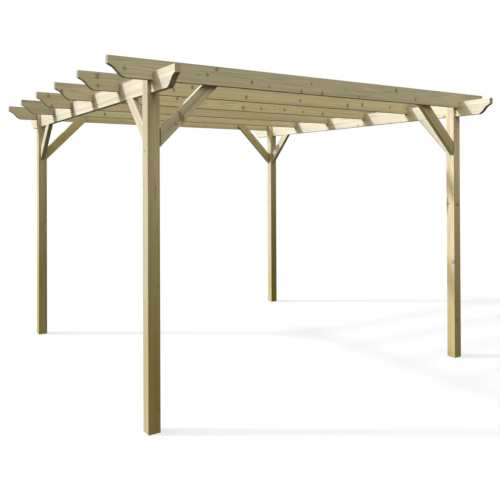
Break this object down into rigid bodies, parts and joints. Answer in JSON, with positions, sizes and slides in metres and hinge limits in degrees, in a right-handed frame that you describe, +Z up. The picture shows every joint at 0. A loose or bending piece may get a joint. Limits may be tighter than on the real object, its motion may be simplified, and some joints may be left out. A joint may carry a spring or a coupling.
{
  "type": "garden pergola",
  "caption": "Open timber garden pergola: square posts slotted at the head for beams, notched rafters with ogee ends laid across them, and diagonal braces at the corners.",
  "frame": {"origin": "on the ground, midway between the four posts", "axes": "+X along the rafters to the right, +Y along the beams to the back, +Z up"},
  "size_m": [4, 4.2, 2.67],
  "materials": {
    "post_timber": "planed pressure-treated softwood, bare and dry",
    "beam_timber": "planed pressure-treated softwood, bare and dry",
    "rafter_timber": "planed pressure-treated softwood, bare and dry",
    "brace_timber": "planed pressure-treated softwood, bare and dry"
  },
  "bodies": {
    "root": {"post_front_left": "post_timber", "post_front_right": "post_timber", "post_back_left": "post_timber", "post_back_right": "post_timber", "beam_left": "beam_timber", "beam_right": "beam_timber", "rafter_1": "rafter_timber", "rafter_2": "rafter_timber", "rafter_3": "rafter_timber", "rafter_4": "rafter_timber", "rafter_5": "rafter_timber", "rafter_6": "rafter_timber", "beam_brace_front_left": "brace_timber", "beam_brace_front_right": "brace_timber", "beam_brace_back_left": "brace_timber", "beam_brace_back_right": "brace_timber", "rafter_brace_front_left": "brace_timber", "rafter_brace_front_right": "brace_timber", "rafter_brace_back_left": "brace_timber", "rafter_brace_back_right": "brace_timber"}
  },
  "joints": []
}
